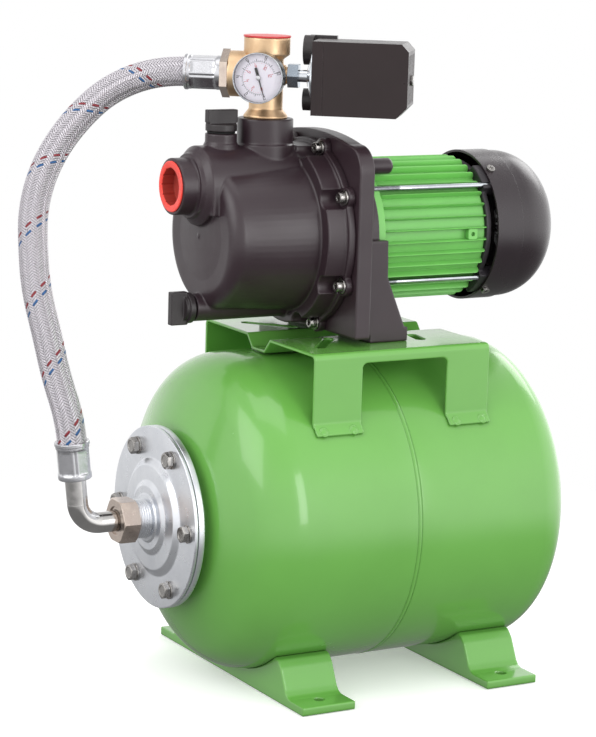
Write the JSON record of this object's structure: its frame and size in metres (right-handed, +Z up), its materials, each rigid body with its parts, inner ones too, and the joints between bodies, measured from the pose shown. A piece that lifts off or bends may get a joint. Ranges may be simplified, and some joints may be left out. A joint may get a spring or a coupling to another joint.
{
  "type": "centrifugal water pump",
  "caption": "Self-priming jet pump with finned motor on a saddle bracket over a horizontal bladder tank, with pressure switch, gauge and braided hose.",
  "frame": {"origin": "middle of the four ground bolt holes, at ground level", "axes": "+X along the tank and motor axis toward the fan, +Z up, +Y to the back when the gauge faces the viewer"},
  "size_m": [0.4694, 0.2706, 0.5448],
  "materials": {
    "black_plastic": "black plastic",
    "bladder_rubber": "butyl rubber",
    "brass_body": "satin cast brass",
    "bright_zinc": "bright stamped zinc",
    "casing_plastic": "satin glass-filled black plastic",
    "ceramic": "white ceramic seal seat",
    "chrome_elbow": "polished chrome",
    "contact_brass": "stamped brass and spring steel",
    "cover_plastic": "satin black plastic",
    "ferrule_steel": "crimped bright ferrule",
    "galvanised": "bright galvanised, faint streaks",
    "gauge_black": "black case",
    "gauge_glass": "clear lens",
    "gauge_white": null,
    "green_paint": "glossy light green enamel",
    "hose_braid": "stainless wire braid with coloured tracers",
    "inner_plastic": "grey glass-filled plastic",
    "lamination": "stacked electrical steel",
    "motor_green": "semi-gloss green paint on die-cast aluminium",
    "nickel_nut": "nickel plated brass, warm",
    "orange_plug": "orange-red transport plug",
    "red_plug": "red transport plug",
    "seal_rubber": "nitrile rubber",
    "shaft_steel": "ground steel",
    "shield_black": "black painted aluminium",
    "switch_plastic": "fine grained black plastic",
    "valve_brass": "turned brass",
    "winding": "enamelled copper wire",
    "zinc_bolt": "bright zinc plated",
    "zinc_nut": "blue passivated zinc",
    "zinc_rod": "bright zinc plated, threaded end"
  },
  "bodies": {
    "base": {"tank_shell_flange_side": "green_paint", "tank_shell_motor_side": "green_paint", "weld_bead": "green_paint", "tank_flange_ring": "galvanised", "bladder": "bladder_rubber", "flange_plate": "galvanised", "flange_bolts": "zinc_bolt", "air_valve": "valve_brass", "left_foot": "green_paint", "right_foot": "green_paint", "saddle_bracket": "green_paint", "foot_bolts": "zinc_bolt", "pump_casing": "casing_plastic", "casing_screws": "zinc_bolt", "casing_washers": "zinc_bolt", "casing_o_ring": "seal_rubber", "motor_bracket": "casing_plastic", "diffuser": "inner_plastic", "jet_nozzle": "valve_brass", "venturi_tube": "inner_plastic", "seal_seat": "ceramic", "motor_housing": "motor_green", "stator_core": "lamination", "stator_winding": "winding", "front_bearing": "shaft_steel", "rear_bearing": "shaft_steel", "rear_shield": "shield_black", "tie_rods": "zinc_rod", "fan_cover": "cover_plastic", "fan_cover_screws": "zinc_bolt", "five_way_fitting": "brass_body", "gauge_case": "gauge_black", "gauge_dial": "gauge_white", "gauge_lens": "gauge_glass", "switch_flange": "bright_zinc", "switch_base": "switch_plastic", "switch_contacts": "contact_brass", "cable_glands": "black_plastic", "hose_nut_top": "nickel_nut", "ferrule_top": "ferrule_steel", "braided_hose": "hose_braid", "ferrule_bottom": "ferrule_steel", "elbow": "chrome_elbow"},
    "spindle": {"motor_shaft": "shaft_steel", "rotor": "lamination", "impeller": "valve_brass", "seal_rotating": "seal_rubber", "cooling_fan": "black_plastic"},
    "gauge_pointer": {"gauge_needle": "gauge_black"},
    "priming_ring": {"priming_o_ring": "seal_rubber"},
    "priming_cap_body": {"priming_cap": "black_plastic"},
    "drain_ring": {"drain_o_ring": "seal_rubber"},
    "drain_plug_body": {"drain_plug": "black_plastic"},
    "suction_plug_body": {"suction_plug": "orange_plug"},
    "outlet_plug_body": {"outlet_plug": "red_plug"},
    "valve_cap": {"air_valve_cap": "black_plastic"},
    "hose_swivel": {"elbow_nut": "nickel_nut"},
    "switch_swivel": {"switch_nut": "zinc_nut"},
    "switch_lid": {"switch_cover": "switch_plastic", "cover_screw": "zinc_bolt"}
  },
  "joints": [
    {"name": "motor_shaft_spin", "type": "hinge", "parent": "base", "child": "spindle", "pos_m": [-0.01065, 0, 0.38], "axis": [1, 0, 0], "continuous": true},
    {"name": "gauge_needle_turn", "type": "hinge", "parent": "base", "child": "gauge_pointer", "pos_m": [-0.11768, -0.03152, 0.512], "axis": [0.6157, 0.788, 0], "range_deg": [0, 270]},
    {"name": "priming_cap_lift", "type": "slide", "parent": "base", "child": "priming_ring", "axis": [0, 0, 1], "range_m": [0, 0.012]},
    {"name": "priming_cap_turn", "type": "hinge", "parent": "priming_ring", "child": "priming_cap_body", "pos_m": [-0.13415, 0, 0.47], "axis": [0, 0, 1], "range_deg": [0, 1440]},
    {"name": "drain_plug_draw", "type": "slide", "parent": "base", "child": "drain_ring", "axis": [-1, 0, 0], "range_m": [0, 0.012]},
    {"name": "drain_plug_turn", "type": "hinge", "parent": "drain_ring", "child": "drain_plug_body", "pos_m": [-0.16065, 0, 0.3205], "axis": [-1, 0, 0], "range_deg": [0, 1440]},
    {"name": "suction_plug_pull", "type": "slide", "parent": "base", "child": "suction_plug_body", "axis": [-1, 0, 0], "range_m": [0, 0.03]},
    {"name": "outlet_plug_pull", "type": "slide", "parent": "base", "child": "outlet_plug_body", "axis": [0, 0, 1], "range_m": [0, 0.03]},
    {"name": "valve_cap_pull", "type": "slide", "parent": "base", "child": "valve_cap", "axis": [1, 0, 0], "range_m": [0, 0.015]},
    {"name": "elbow_nut_turn", "type": "hinge", "parent": "base", "child": "hose_swivel", "pos_m": [-0.21565, 0, 0.1452], "axis": [1, 0, 0], "range_deg": [0, 1080]},
    {"name": "switch_nut_turn", "type": "hinge", "parent": "base", "child": "switch_swivel", "pos_m": [-0.07414, -0.01478, 0.512], "axis": [0.788, -0.6157, 0], "range_deg": [0, 1080]},
    {"name": "switch_cover_pull", "type": "slide", "parent": "base", "child": "switch_lid", "axis": [0.788, -0.6157, 0], "range_m": [0, 0.075]}
  ],
  "couplings": [
    {"joint": "priming_cap_lift", "follows": "priming_cap_turn", "m_per_rad": 0.00047746},
    {"joint": "drain_plug_draw", "follows": "drain_plug_turn", "m_per_rad": 0.00047746}
  ]
}
